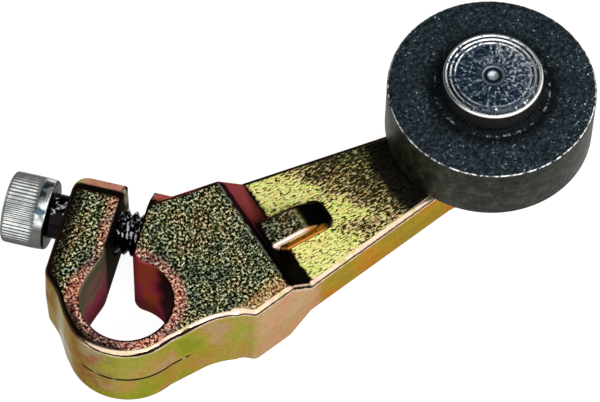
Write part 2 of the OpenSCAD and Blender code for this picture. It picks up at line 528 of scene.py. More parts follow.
def knurled(angle, r, h):
    """Straight knurl on the head's side, on all but the collar next to the shank."""
    if r < HEAD_R - 0.2 or h < COLLAR_END:
        return r
    tooth = abs(2 * ((angle * KNURL_TEETH / (2 * math.pi)) % 1) - 1)
    return r - KNURL_DEPTH * (1 - tooth)


def hexagon_radius(angle, across_flats):
    """Distance from the centre to a hexagon's side at an angle."""
    return across_flats / 2 / math.cos((angle + math.pi / 6) % (math.pi / 3) - math.pi / 6)


def screw_shape(angle, r, h):
    """The screw's radius at an angle: thread on the shank, hexagon in the socket, knurl outside."""
    if r == THREAD_R and h < HEAD_N - 0.3:
        return thread_radius(angle, h, HEAD_N - SCREW_L + 0.4, EAR_SIDE + 0.1)
    if h > HEAD_TOP - SOCKET_DEPTH - 0.01 and r < SOCKET_AF / 2 + 0.5:
        return r / (SOCKET_AF / 2) * hexagon_radius(angle, SOCKET_AF)
    return knurled(angle, r, h)


def make_screw():
    socket = SOCKET_AF / 2
    profile = shank_profile() + head_profile()
    profile += [(socket * 1.28, HEAD_TOP), (socket * 1.06, HEAD_TOP), (socket, HEAD_TOP - 0.1)]
    profile += [(socket, HEAD_TOP - SOCKET_DEPTH), (0, HEAD_TOP - SOCKET_DEPTH - 0.5)]
    points, faces = revolved(profile, KNURL_TEETH * 4, screw_shape)
    x, y = slit_point(SCREW_T, 0)
    turn = Euler((0, math.radians(90), SLIT_DIRECTION + math.radians(90)), "XYZ").to_matrix().to_4x4()
    matrix = Matrix.Translation((x, y, MID_Z)) @ turn
    piece = mesh_piece("cap_screw", placed(points, matrix), faces, "clamp_screw")
    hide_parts("clamp_screw")
    return piece


def make_roller():
    low, high = ROLLER_LOW[2], ROLLER_HIGH[2]
    hole = PIN_R + 0.05
    edge = 0.22
    chamfer = 0.15
    profile = [(hole, high - chamfer), (hole + chamfer, high), (RING_R, high)]
    profile += [(RING_R + 0.1, high - 0.03), (RING_R + 0.25, high - 0.03), (RING_R + 0.35, high)]
    profile += arc((ROLLER_R - edge, high - edge), edge, 90, 0)
    profile += arc((ROLLER_R - edge, low + edge), edge, 0, -90)
    profile += [(hole + chamfer, low), (hole, low + chamfer), (hole, high - chamfer)]
    points, faces = revolved(profile[::-1], 160)
    points[:, 0] += ROLLER_X
    piece = mesh_piece("roller_wheel", points, faces, "roller")
    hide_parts("roller")
    return piece


def pin_face_height(r):
    """Height of the pin head's face: tool rings near the rim and a dimple in the middle."""
    rings = 0.055 * math.cos(2 * math.pi * (PIN_HEAD_R - 0.25 - r) / 0.36)
    if r <= PIN_HEAD_R - 1.3:
        rings = 0
    faint = 0.012 * math.sin(2 * math.pi * r / TOOL_MARK_PITCH)
    dimple = -0.3 * math.exp(-(r / 0.5) ** 2) - 0.05 * math.exp(-((r - 0.85) / 0.12) ** 2)
    return rings + faint + dimple - 0.07


def make_pin():
    low, high = PIN_LOW[2], PIN_HIGH[2]
    under = ROLLER_HIGH[2] + 0.1
    back = MID_Z - ARM_HALF_H
    profile = [(0, low), (2.3, low), (2.75, low + 0.1), (RIVET_R, back), (PIN_R, back + RIVET_DEPTH)]
    profile += [(PIN_R, under), (PIN_HEAD_R - 0.25, under)]
    profile += arc((PIN_HEAD_R - 0.2, under + 0.2), 0.2, -90, 0, 4)
    profile += arc((PIN_HEAD_R - 0.28, high - 0.28), 0.28, 0, 80, 5)
    steps = 60
    for i in range(steps + 1):
        r = (PIN_HEAD_R - 0.3) * (1 - i / steps)
        profile.append((r, high + pin_face_height(r)))
    points, faces = revolved(profile, 128)
    points[:, 0] += ROLLER_X
    piece = mesh_piece("headed_pin", points, faces, "lever")
    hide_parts("roller_pin")
    return piece


def make_washer():
    inner, outer = PIN_R + 0.1, WASHER_HIGH[0] - ROLLER_X
    low, high = WASHER_LOW[2], WASHER_HIGH[2]
    edge = 0.12
    profile = [(inner, high), (outer - edge, high), (outer, high - edge), (outer, low + edge)]
    profile += [(outer - edge, low), (inner, low), (inner, high)]
    points, faces = revolved(profile[::-1], 96)
    points[:, 0] += ROLLER_X
    piece = mesh_piece("flat_washer", points, faces, "thrust_washer")
    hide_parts("thrust_washer")
    return piece


# ---------------------------------------------------------------- materials


class Nodes:
    """Short helpers to build one material's node tree."""

    def __init__(self, name):
        self.material = bpy.data.materials.new(name)
        self.material.use_nodes = True
        self.tree = self.material.node_tree
        self.shader = self.tree.nodes["Principled BSDF"]
        where = self.add("ShaderNodeTexCoord")
        self.place = where.outputs["Object"]
        self.normal = where.outputs["Normal"]

    def add(self, kind, **settings):
        node = self.tree.nodes.new(kind)
        for key, value in settings.items():
            setattr(node, key, value)
        return node

    def link(self, source, target):
        self.tree.links.new(source, target)

    def set(self, socket, value):
        """Sets a socket of the shader to a constant or links it to another socket."""
        target = self.shader.inputs[socket]
        if isinstance(value, (int, float, tuple)):
            target.default_value = value
        else:
            self.link(value, target)

    def noise(self, scale, detail=2.0, stretch=None, roughness=0.5):
        """Noise on object coordinates; scale is in features a metre."""
        node = self.add("ShaderNodeTexNoise")
        node.inputs["Scale"].default_value = scale
        node.inputs["Detail"].default_value = detail
        node.inputs["Roughness"].default_value = roughness
        source = self.place
        if stretch:
            mapping = self.add("ShaderNodeMapping")
            mapping.inputs["Scale"].default_value = stretch
            self.link(source, mapping.inputs["Vector"])
            source = mapping.outputs["Vector"]
        self.link(source, node.inputs["Vector"])
        return node.outputs["Fac"]

    def ramp(self, value, stops):
        """Colour ramp; stops are (position, (r, g, b)) or (position, grey)."""
        node = self.add("ShaderNodeValToRGB")
        elements = node.color_ramp.elements
        while len(elements) < len(stops):
            elements.new(1.0)
        for element, (position, colour) in zip(elements, stops):
            element.position = position
            if isinstance(colour, (int, float)):
                colour = (colour, colour, colour)
            element.color = (*colour, 1)
        self.link(value, node.inputs["Fac"])
        return node.outputs["Color"]

    def math(self, operation, a, b=0.0, c=0.0):
        node = self.add("ShaderNodeMath", operation=operation)
        for socket, value in zip(node.inputs, (a, b, c)):
            if isinstance(value, (int, float)):
                socket.default_value = value
            else:
                self.link(value, socket)
        return node.outputs[0]

    def plus(self, a, b):
        return self.math("ADD", a, b)

    def minus(self, a, b):
        return self.math("SUBTRACT", a, b)

    def times(self, a, b):
        return self.math("MULTIPLY", a, b)

    def scaled(self, a, factor, shift):
        return self.math("MULTIPLY_ADD", a, factor, shift)

    def either(self, a, b):
        """The larger of two zones."""
        return self.math("MAXIMUM", a, b)

    def rest(self, share):
        """What a share leaves of 1."""
        return self.minus(1, share)

    def without(self, a, b):
        """Zone a less zone b."""
        return self.times(a, self.rest(b))

    def above(self, value, edge, width):
        """1 where a length is over edge, in millimetres, softened over width."""
        return self.step(value, (edge - width / 2) * MM, (edge + width / 2) * MM)

    def below(self, value, edge, width):
        return self.rest(self.above(value, edge, width))

    def radius(self, centre_x=0.0):
        """Distance from an axis along Z that is at centre_x, in millimetres."""
        x, y, _ = self.axes(self.place)
        dx = self.minus(x, centre_x * MM)
        squares = self.plus(self.times(dx, dx), self.times(y, y))
        return self.math("SQRT", squares)

    def slit_axes(self):
        """Distances along the slit and across it, as in slit_frame."""
        x, y, _ = self.axes(self.place)
        c, s = math.cos(SLIT_DIRECTION), math.sin(SLIT_DIRECTION)
        along = self.plus(self.times(x, c), self.times(y, s))
        return along, self.minus(self.times(y, c), self.times(x, s))

    def step(self, value, low, high):
        """0 below low, 1 above high, smooth between."""
        node = self.add("ShaderNodeMapRange", interpolation_type="SMOOTHSTEP")
        node.inputs["From Min"].default_value = low
        node.inputs["From Max"].default_value = high
        self.link(value, node.inputs["Value"])
        return node.outputs["Result"]

    def mix(self, share, a, b):
        node = self.add("ShaderNodeMix", data_type="RGBA")
        if isinstance(share, (int, float)):
            node.inputs["Factor"].default_value = share
        else:
            self.link(share, node.inputs["Factor"])
        inputs = [s for s in node.inputs if s.type == "RGBA"]
        for socket, value in zip(inputs, (a, b)):
            if isinstance(value, tuple):
                socket.default_value = (*value, 1)
            else:
                self.link(value, socket)
        return [s for s in node.outputs if s.type == "RGBA"][0]

    def tinted(self, a, b):
        """Two colours multiplied."""
        node = self.add("ShaderNodeMix", data_type="RGBA", blend_type="MULTIPLY")
        node.inputs["Factor"].default_value = 1.0
        inputs = [s for s in node.inputs if s.type == "RGBA"]
        self.link(a, inputs[0])
        self.link(b, inputs[1])
        return [s for s in node.outputs if s.type == "RGBA"][0]

    def axes(self, source):
        node = self.add("ShaderNodeSeparateXYZ")
        self.link(source, node.inputs[0])
        return node.outputs[0], node.outputs[1], node.outputs[2]

    def bump(self, height, strength, distance):
        node = self.add("ShaderNodeBump")
        node.inputs["Strength"].default_value = strength
        node.inputs["Distance"].default_value = distance
        self.link(height, node.inputs["Height"])
        return node.outputs["Normal"]


BLACK = (0.004, 0.004, 0.003)


class Chromate(Nodes):
    """Yellow chromate over zinc: iridescent, grainy on the flat faces, with painted dark reflections
    on most edges.

    Each zone is a socket that is 1 on one part of the lever and 0 elsewhere.
    """

    def __init__(self):
        super().__init__("yellow_chromate")
        self.x, self.y, self.z = self.axes(self.place)
        self.nx, self.ny, nz = self.axes(self.normal)
        self.up = self.math("ABSOLUTE", nz)
        self.t, self.n = self.slit_axes()
        self.cloud = self.noise(290, 1.5, roughness=0.5)
        self.grain = self.noise(3900, 4, roughness=0.72)
        self.streak = self.noise(5200, 3, stretch=(0.42, 1, 1), roughness=0.7)

    def faces_front(self, low, high):
        """1 where the surface faces -Y by more than high, 0 where by less than low."""
        return self.step(self.times(self.ny, -1), low, high)

    def wavy(self, value, scale, size):
        """A length made uneven by noise, by up to about size millimetres."""
        shift = self.scaled(self.noise(scale, 2), 2 * size * MM, -size * MM)
        return self.plus(value, shift)


def side_colour(m):
    """Draft sides: olive, gold and orange clouds, paler at the block's corner."""
    sides = m.ramp(m.cloud, [
        (0.34, (0.23, 0.26, 0.040)), (0.44, (0.29, 0.29, 0.055)), (0.51, (0.33, 0.28, 0.070)),
        (0.58, (0.38, 0.25, 0.080)), (0.66, (0.38, 0.27, 0.14))])
    pale = m.ramp(m.noise(420, 2), [(0.35, (0.54, 0.40, 0.26)), (0.65, (0.62, 0.33, 0.26))])
    corner = m.times(m.above(m.x, 9.4, 1.5), m.below(m.x, 16.5, 2.0))
    sides = m.mix(m.times(corner, 0.8), sides, pale)
    arm = m.ramp(m.cloud, [
        (0.38, (0.34, 0.26, 0.06)), (0.50, (0.42, 0.28, 0.06)), (0.62, (0.50, 0.21, 0.05))])
    sides = m.mix(m.above(m.x, 17.0, 2.0), sides, arm)
    left = m.step(m.times(m.nx, -1), 0.55, 0.95)
    grey = m.ramp(m.noise(330, 2), [
        (0.40, (0.26, 0.25, 0.03)), (0.48, (0.27, 0.22, 0.10)), (0.57, (0.26, 0.10, 0.09)),
        (0.66, (0.30, 0.27, 0.19))])
    sides = m.mix(m.times(left, 0.85), sides, grey)
    smudge = m.ramp(m.noise(2600, 4, roughness=0.75), [(0.35, 0.80), (0.6, 1.0)])
    return m.tinted(sides, smudge)


def edge_reflection_colour(m):
    """Rounded edges: nearly black as a painted dark reflection, but where they face -Y a pale painted
    highlight crossed by one thin dark painted reflection line.
    """
    # pale: painted highlight of the studio light on edges that face -Y
    pale = m.ramp(m.noise(900, 3), [
        (0.36, (0.60, 0.40, 0.32)), (0.50, (0.68, 0.52, 0.38)), (0.62, (0.50, 0.40, 0.18))])
    under_hub = m.times(m.above(m.x, -2.0, 4.0), m.below(m.x, 4.5, 2.0))
    height = m.plus(m.up, m.scaled(m.noise(1500, 2), 0.3, -0.15))
    top = m.minus(height, m.times(under_hub, 0.24))
    # line: painted dark reflection line across the pale band, wider under the hub
    line = m.without(m.step(height, 0.34, 0.40), m.step(top, 0.53, 0.60))
    pale = m.mix(line, pale, (0.016, 0.010, 0.008))
    # dark: painted dark reflection on edges that do not face -Y
    dark = m.ramp(m.cloud, [(0.4, (0.020, 0.022, 0.010)), (0.6, (0.045, 0.022, 0.018))])
    return m.mix(m.faces_front(0.10, 0.30), dark, pale)


def face_colour(m):
    """Grainy faces: olive specks on black, rosy by the bore, golden by the front; their white specks
    are painted glints and a dark band along the left edges is painted shade.
    """
    # The whitest stops of the olive, golden and rosy ramps are painted glints on the grain.
    olive = m.ramp(m.grain, [
        (0.455, (0.003, 0.004, 0.003)), (0.50, (0.032, 0.042, 0.014)), (0.54, (0.14, 0.16, 0.040)),
        (0.57, (0.80, 0.78, 0.38)), (0.605, (1.0, 1.0, 0.94))])
    golden = m.ramp(m.grain, [
        (0.42, (0.020, 0.010, 0.004)), (0.49, (0.36, 0.20, 0.05)), (0.55, (0.90, 0.66, 0.34)),
        (0.64, (1.0, 0.95, 0.80))])
    by_front = m.minus(m.y, m.times(m.x, TAPER))
    by_front = m.below(m.wavy(by_front, 700, 0.9), lower(0) + 1.75, 0.7)
    olive = m.mix(m.times(by_front, m.above(m.x, 3.0, 2.0)), olive, golden)
    rosy = m.ramp(m.grain, [
        (0.40, (0.012, 0.002, 0.003)), (0.46, (0.16, 0.018, 0.015)), (0.50, (0.75, 0.20, 0.14)),
        (0.55, (1.0, 0.55, 0.44)), (0.63, (1.0, 0.90, 0.84))])
    by_bore = m.below(m.wavy(m.radius(), 600, 0.5), BORE_R + 1.3, 0.9)
    by_slit = m.below(m.wavy(m.n, 700, 0.4), SLIT_OFFSET + SLIT_HALF_W + 0.9, 0.8)
    by_slit = m.times(m.times(by_slit, m.above(m.n, SLIT_OFFSET, 0.2)), 0.7)
    face = m.mix(m.either(by_bore, by_slit), olive, rosy)
    tone_and_shade = m.ramp(m.noise(520, 3), [
        (0.38, (0.42, 0.50, 0.50)), (0.46, (0.95, 1.0, 0.90)), (0.52, (1.0, 1.0, 0.85)),
        (0.60, (1.0, 0.80, 0.66))])
    # Painted shade: a dark band along the left edges of the ears and the hub.
    ear_left_shade = m.above(m.wavy(m.n, 1500, 0.4), EAR_SIDE - 1.5, 0.8)
    hub_left_shade = m.above(m.wavy(m.radius(), 1500, 0.4), HUB_R - 1.05, 0.5)
    hub_left_shade = m.times(m.times(hub_left_shade, m.below(m.x, -2.4, 1.5)), m.below(m.y, 2.5, 2.0))
    left = m.either(ear_left_shade, hub_left_shade)
    tone_and_shade = m.mix(m.times(left, 0.9), tone_and_shade, (0.05, 0.05, 0.05))
    return m.tinted(face, tone_and_shade)


def arm_colour(m):
    """The arm's face: fine streaks, yellow-green at the block, darker towards the roller, its palest
    streaks painted glints; black marks painted shadow of the roller and painted shade at the slope's
    foot.
    """
    place = m.plus(m.times(m.x, 28), m.scaled(m.cloud, 0.5, -0.405))
    place = m.plus(place, m.times(m.y, 9))
    light = m.ramp(place, [
        (0.30, (1.0, 0.98, 0.42)), (0.42, (0.95, 0.95, 0.32)), (0.48, (0.90, 0.70, 0.38)),
        (0.56, (0.76, 0.60, 0.30)), (0.64, (0.50, 0.56, 0.26)), (0.76, (0.36, 0.42, 0.24))])
    middle = m.ramp(place, [
        (0.30, (0.56, 0.52, 0.11)), (0.42, (0.38, 0.36, 0.06)), (0.48, (0.24, 0.15, 0.05)),
        (0.56, (0.12, 0.060, 0.020)), (0.66, (0.05, 0.060, 0.018)), (0.76, (0.02, 0.03, 0.012))])
    low = m.scaled(m.step(place, 0.34, 0.60), 0.125, 0.392)
    share = m.times(m.minus(m.streak, low), 12)
    face = m.mix(m.step(share, 0.0, 0.55), (0.022, 0.024, 0.008), middle)
    face = m.mix(m.step(share, 0.35, 1.1), face, light)
    # pale: the palest streaks, painted glints.
    pale = m.ramp(place, [(0.40, (1.0, 0.98, 0.38)), (0.66, (0.66, 0.64, 0.38))])
    face = m.mix(m.step(share, 1.1, 2.0), face, pale)
    tints = m.ramp(m.noise(2600, 2), [
        (0.38, (0.86, 0.98, 0.58)), (0.46, (1, 1, 1)), (0.54, (1, 1, 1)), (0.62, (1.0, 0.84, 0.64))])
    face = m.tinted(face, tints)
    # Painted shadow of the roller on the arm and painted shade in the crease at the slope's foot,
    # both black.
    roller_shadow = m.below(m.wavy(m.radius(ROLLER_X), 900, 0.5), ROLLER_R + 2.0, 0.9)
    foot_shade = m.below(m.wavy(m.x, 1500, 0.4), BLOCK_END + SLOPE_RUN + 0.3, 0.3)
    return m.mix(m.either(roller_shadow, foot_shade), face, BLACK)


def wall_colour(m):
    """Walls of the bore and the slit: orange and wine red, black to the right, with painted shade
    deep in the bore, black painted shade in the slit and painted highlight patches near the slit's
    far end.
    """
    cloud = m.noise(420, 2)
    bore = m.ramp(cloud, [
        (0.36, (0.38, 0.07, 0.030)), (0.46, (0.38, 0.045, 0.070)), (0.58, (0.32, 0.028, 0.110))])
    level = m.plus(m.scaled(m.z, -60, 0.30), cloud)
    left = m.ramp(level, [
        (0.35, (0.13, 0.12, 0.08)), (0.50, (0.24, 0.14, 0.12)), (0.65, (0.32, 0.05, 0.11))])
    bore = m.mix(m.above(m.n, SLIT_OFFSET, 1.0), bore, left)
    # Painted shade deep in the bore.
    deep_shade = m.below(m.wavy(m.z, 500, 1.2), 2.2, 3.0)
    right = m.below(m.wavy(m.n, 500, 0.8), -2.0, 1.4)
    bore = m.mix(m.times(m.either(m.times(deep_shade, 0.7), right), 0.95), bore, BLACK)
    # Painted highlight patches on the slit walls near their far end, over black painted shade.
    end = m.above(m.wavy(m.t, 1500, 0.3), 10.9, 0.5)
    end = m.times(end, m.step(m.noise(2200, 2), 0.42, 0.55))
    slit = m.mix(end, BLACK, (0.42, 0.38, 0.28))
    return m.mix(m.above(m.wavy(m.t, 500, 0.3), 4.6, 0.9), bore, slit)


def slope_colour(m):
    """The block's slope down to the arm: wine red on its +Y side, black on the other."""
    level = m.plus(m.times(m.y, 90), m.scaled(m.cloud, 0.5, 0.25))
    return m.ramp(level, [
        (0.50, (0.004, 0.003, 0.003)), (0.68, (0.05, 0.010, 0.018)), (0.92, (0.22, 0.045, 0.060))])


def bevel_colour(m):
    """Bevelled ends of the ears: mottled orange and pink, greenish and wine red at the sides."""
    bevel = m.ramp(m.noise(1500, 3, roughness=0.7), [
        (0.36, (0.14, 0.08, 0.04)), (0.44, (0.42, 0.29, 0.15)), (0.50, (0.48, 0.20, 0.15)),
        (0.58, (0.50, 0.20, 0.22)), (0.66, (0.34, 0.07, 0.10))])
    left = m.times(m.above(m.n, EAR_SIDE - 1.1, 1.0), 0.8)
    bevel = m.mix(left, bevel, (0.34, 0.34, 0.20))
    rosy = m.ramp(m.noise(900, 3), [(0.40, (0.26, 0.06, 0.05)), (0.55, (0.36, 0.08, 0.10))])
    return m.mix(m.below(m.n, SLIT_OFFSET, 0.2), bevel, rosy)


def rib_flank_colour(m):
    """The rib's -Y flank: a pale band along its top that is a painted highlight, a thin dark line
    that is a painted reflection, then orange.
    """
    edge = m.plus(m.z, m.scaled(m.noise(1800, 2), 0.2 * MM, -0.1 * MM))
    # top: pale painted highlight band along the flank's top.
    top = m.times(m.above(edge, ARM_FRONT + 0.80, 0.05), m.below(m.x, RIB_FLAT_END - 0.5, 1.2))
    flank = m.mix(top, (0.34, 0.14, 0.020), (0.72, 0.50, 0.44))
    # line: thin dark painted reflection line below it.
    line = m.times(m.above(edge, ARM_FRONT + 0.66, 0.06), m.below(edge, ARM_FRONT + 0.80, 0.06))
    flank = m.mix(line, flank, (0.02, 0.01, 0.01))
    return m.mix(m.above(m.x, RIB_END - 1.0, 0.9), flank, BLACK)


def inner_zone(m):
    """Everything close to the bore, to the slit and to the rounded corners between them."""
    bore = m.below(m.radius(), BORE_R + 0.32, 0.1)
    across = m.math("ABSOLUTE", m.minus(m.n, SLIT_OFFSET * MM))
    slit = m.times(m.below(across, SLIT_HALF_W + 0.32, 0.1), m.above(m.t, 2.5, 0.5))
    corner = m.times(m.below(m.radius(), 7.0, 0.2), m.below(across, SLIT_HALF_W + 2.0, 0.1))
    corner = m.times(corner, m.above(m.t, 1.0, 0.2))
    return m.either(m.either(bore, slit), corner)


def groove_zone(m):
    """The part of the mould's parting line that shows, below the bore."""
    level = m.math("ABSOLUTE", m.minus(m.z, MID_Z * MM))
    along = m.times(m.below(m.x, 3.3, 0.8), m.below(m.y, -1.5, 0.8))
    uneven = m.step(m.noise(900, 2), 0.30, 0.42)
    return m.times(m.times(m.below(level, 0.15, 0.08), along), uneven)


def slope_zones(m, side):
    """The slope from the block down to the arm, and the thin line along its top."""
    slope = m.above(m.x, BLOCK_END - 0.1, 0.3)
    slope = m.times(slope, m.below(m.x, BLOCK_END + SLOPE_RUN + 0.25, 0.3))
    slope = m.without(m.times(slope, m.step(m.nx, 0.25, 0.5)), side)
    slope = m.without(slope, m.faces_front(0.3, 0.5))
    line = m.without(m.step(m.nx, 0.14, 0.20), m.step(m.nx, 0.26, 0.34))
    line = m.times(line, m.step(m.up, 0.9, 0.95))
    line = m.times(line, m.step(m.noise(1500, 2), 0.40, 0.55))
    line = m.times(line, m.below(m.x, BLOCK_END + 0.5, 0.2))
    line = m.times(line, m.above(m.x, BLOCK_END - 0.8, 0.2))
    return slope, line


def rib_zones(m, flat):
    """The rib, its far end and its -Y flank."""
    span = m.times(m.above(m.x, BLOCK_END, 0.2), m.below(m.x, RIB_END + 1.0, 0.3))
    span = m.times(span, m.below(m.math("ABSOLUTE", m.y), RIB_HALF_W + 0.6, 0.1))
    rib = m.times(span, m.above(m.z, ARM_FRONT + 0.12, 0.1))
    end = m.times(rib, m.above(m.wavy(m.x, 1500, 0.5), RIB_FLAT_END + 0.2, 0.8))
    front = m.times(m.without(span, flat), m.above(m.z, ARM_FRONT + 0.01, 0.02))
    front = m.times(front, m.faces_front(0.12, 0.3))
    return rib, end, front


def bevel_zone(m, flat, rising):
    """The bevelled ends of the ears."""
    bevel = m.above(m.wavy(m.t, 1200, 0.25), EAR_END - EAR_BEVEL_RUN + 0.55, 0.5)
    bevel = m.without(m.times(bevel, rising), flat)
    return m.times(bevel, m.below(m.x, 11.5, 0.5))


def chromate():
    """The lever's material: the colour of each zone covers the ones before it."""
    m = Chromate()
    flat = m.step(m.up, 0.965, 0.992)
    side = m.rest(m.step(m.up, 0.10, 0.34))
    rising = m.step(m.up, 0.4, 0.6)
    on_arm = m.above(m.x, BLOCK_END + SLOPE_RUN - 0.1, 0.15)
    on_slope, slope_edge = slope_zones(m, side)
    on_rib, rib_end, rib_front = rib_zones(m, flat)
    on_bevel = bevel_zone(m, flat, rising)
    inner = m.without(inner_zone(m), m.step(m.up, 0.93, 0.97))
    groove = groove_zone(m)

    grainy_face = face_colour(m)
    face = m.mix(on_arm, grainy_face, arm_colour(m))
    rib_face = m.tinted(grainy_face, m.ramp(rib_end, [(0.0, 0.6), (1.0, 0.04)]))
    face = m.mix(m.times(on_rib, flat), face, rib_face)
    colour = m.mix(flat, edge_reflection_colour(m), face)
    colour = m.mix(side, colour, side_colour(m))
    colour = m.mix(on_slope, colour, slope_colour(m))
    colour = m.mix(slope_edge, colour, (0.13, 0.135, 0.115))
    colour = m.mix(on_bevel, colour, bevel_colour(m))
    colour = m.mix(rib_front, colour, rib_flank_colour(m))
    rib_tip = m.without(m.times(rib_end, rising), m.faces_front(0.3, 0.5))
    colour = m.mix(rib_tip, colour, (0.012, 0.006, 0.010))
    colour = m.mix(inner, colour, wall_colour(m))
    colour = m.mix(groove, colour, (0.012, 0.005, 0.003))
    m.set("Base Color", colour)

    grainy = m.without(m.without(m.without(flat, on_slope), rib_end), on_bevel)
    grainy = m.without(grainy, inner)
    # The palest grain and streaks lose their metal so that their painted glints stay bright.
    bright = m.mix(on_arm, m.step(m.grain, 0.50, 0.57), m.step(m.streak, 0.44, 0.50))
    metallic = m.ramp(m.times(grainy, bright), [(0.0, 0.9), (1.0, 0.15)])
    metallic = m.mix(slope_edge, metallic, (0.15, 0.15, 0.15))
    m.set("Metallic", metallic)
    roughness = m.ramp(grainy, [(0.0, 0.17), (1.0, 0.30)])
    matt = m.either(inner, groove)
    m.set("Roughness", m.mix(matt, roughness, (0.70, 0.70, 0.70)))
    height = m.times(m.mix(on_arm, m.grain, m.streak), m.scaled(grainy, 0.97, 0.03))
    m.set("Normal", m.bump(height, 1.0, 0.00020))
    m.set("Specular Tint", (0.45, 0.36, 0.22, 1))
    return m.material


def bright_zinc():
    """Zinc plate: pale and cloudy; painted shade darkens where the head faces down, under the head
    and along the whole shank, with painted glints on the shank and a painted dark reflection on the
    collar.
    """
    m = Nodes("bright_zinc")
    _, n = m.slit_axes()
    nz = m.axes(m.normal)[2]
    colour = m.ramp(m.noise(900, 3), [(0.35, (0.42, 0.45, 0.44)), (0.6, (0.74, 0.76, 0.73))])
    # low: painted shade where the head faces down.
    low = m.rest(m.step(nz, 0.45, 0.72))
    colour = m.mix(low, colour, (0.12, 0.125, 0.118))
    collar = m.below(n, COLLAR_END - 0.05, 0.1)
    # Painted dark reflection where the smooth collar faces up, in patches.
    collar_dark_reflection = m.times(m.step(nz, 0.55, 0.9), m.step(m.noise(700, 2), 0.46, 0.56))
    colour = m.mix(m.times(collar, collar_dark_reflection), colour, (0.05, 0.09, 0.12))
    # under: painted shade under the head.
    under = m.without(m.below(n, HEAD_N + 0.21, 0.1), m.step(nz, 0.5, 0.9))
    colour = m.mix(under, colour, (0.012, 0.012, 0.012))
    # shank: painted shade, nearly black, on the whole shank.
    shank = m.below(n, HEAD_N - 0.05, 0.1)
    thread = m.below(n, EAR_SIDE - 0.05, 0.1)
    facing_up = m.either(m.step(nz, 0.90, 0.96), m.times(thread, m.step(nz, 0.46, 0.52)))
    glint = m.times(facing_up, m.step(m.noise(2600, 2), 0.52, 0.58))
    glint = m.times(glint, shank)
    colour = m.mix(shank, colour, (0.008, 0.007, 0.009))
    colour = m.mix(glint, colour, (0.84, 0.82, 0.88))
    m.set("Base Color", colour)
    m.set("Roughness", m.ramp(m.noise(1500, 2), [(0.3, 0.20), (0.7, 0.34)]))
    metallic = m.ramp(m.either(shank, low), [(0.0, 0.75), (1.0, 1.0)])
    m.set("Metallic", m.mix(glint, metallic, (0.1, 0.1, 0.1)))
    m.set("Specular Tint", (0.5, 0.5, 0.5, 1))
    m.set("Normal", m.bump(m.noise(5000, 2), 0.25, 0.00003))
    return m.material


def blackened_steel():
    """Blackened roller: blue-black face with bright flecks, a painted highlight along its rounded
    edge, painted shadow round the pin head and a worn ring.
    """
    m = Nodes("blackened_steel")
    r = m.radius(ROLLER_X)
    up = m.math("ABSOLUTE", m.axes(m.normal)[2])
    face = m.step(up, 0.9, 0.99)
    side = m.rest(m.step(up, 0.05, 0.25))
    base = m.ramp(m.noise(2400, 5, roughness=0.85), [
        (0.38, (0.003, 0.006, 0.007)), (0.50, (0.016, 0.026, 0.033)), (0.60, (0.050, 0.070, 0.085))])
    patch = m.ramp(m.noise(350, 2), [(0.36, 0.0), (0.62, 0.065)])
    fleck = m.plus(m.noise(4600, 2, roughness=0.6), patch)
    top = m.mix(m.step(fleck, 0.62, 0.72), base, (0.10, 0.14, 0.18))
    top = m.mix(m.step(fleck, 0.73, 0.78), top, (0.85, 0.90, 0.90))
    # Painted shadow of the pin head on the roller's face.
    pin_shadow = m.below(r, RING_R + 0.95, 1.0)
    top = m.mix(m.times(pin_shadow, 0.8), top, (0.003, 0.004, 0.005))
    ring = m.without(m.above(r, RING_R, 0.06), m.above(r, RING_R + 0.18, 0.06))
    ring = m.times(ring, m.step(m.noise(1200, 4, roughness=0.8), 0.54, 0.60))
    top = m.mix(ring, top, (0.30, 0.32, 0.32))
    # rim: painted highlight along the top of the rounded edge, dark lower down.
    rim = m.ramp(m.noise(1900, 3, roughness=0.75), [
        (0.42, (0.02, 0.025, 0.025)), (0.50, (0.40, 0.42, 0.40)), (0.60, (0.95, 0.95, 0.92))])
    rim = m.mix(m.step(up, 0.55, 0.75), (0.02, 0.02, 0.018), rim)
    flank = m.ramp(m.noise(900, 5, roughness=0.75), [
        (0.38, (0.002, 0.003, 0.002)), (0.52, (0.010, 0.013, 0.008)), (0.64, (0.034, 0.040, 0.026))])
    colour = m.mix(face, rim, top)
    m.set("Base Color", m.mix(side, colour, flank))
    m.set("Metallic", 0.4)
    m.set("Specular IOR Level", 0.26)
    m.set("Specular Tint", (0.5, 0.5, 0.45, 1))
    m.set("Roughness", m.ramp(fleck, [(0.3, 0.38), (0.7, 0.52)]))
    m.set("Normal", m.bump(m.noise(3600, 3), 0.6, 0.00006))
    return m.material


def pin_rays(m):
    """Noise drawn out along the radii of the pin's face."""
    x, y, _ = m.axes(m.place)
    angle = m.math("ARCTAN2", y, m.minus(x, ROLLER_X * MM))
    across = m.add("ShaderNodeCombineXYZ")
    m.link(m.times(angle, 8), across.inputs[0])
    m.link(m.times(m.radius(ROLLER_X), 900), across.inputs[1])
    node = m.add("ShaderNodeTexNoise")
    node.inputs["Scale"].default_value = 1.0
    node.inputs["Detail"].default_value = 3.0
    m.link(across.outputs[0], node.inputs["Vector"])
    return node.outputs["Fac"]


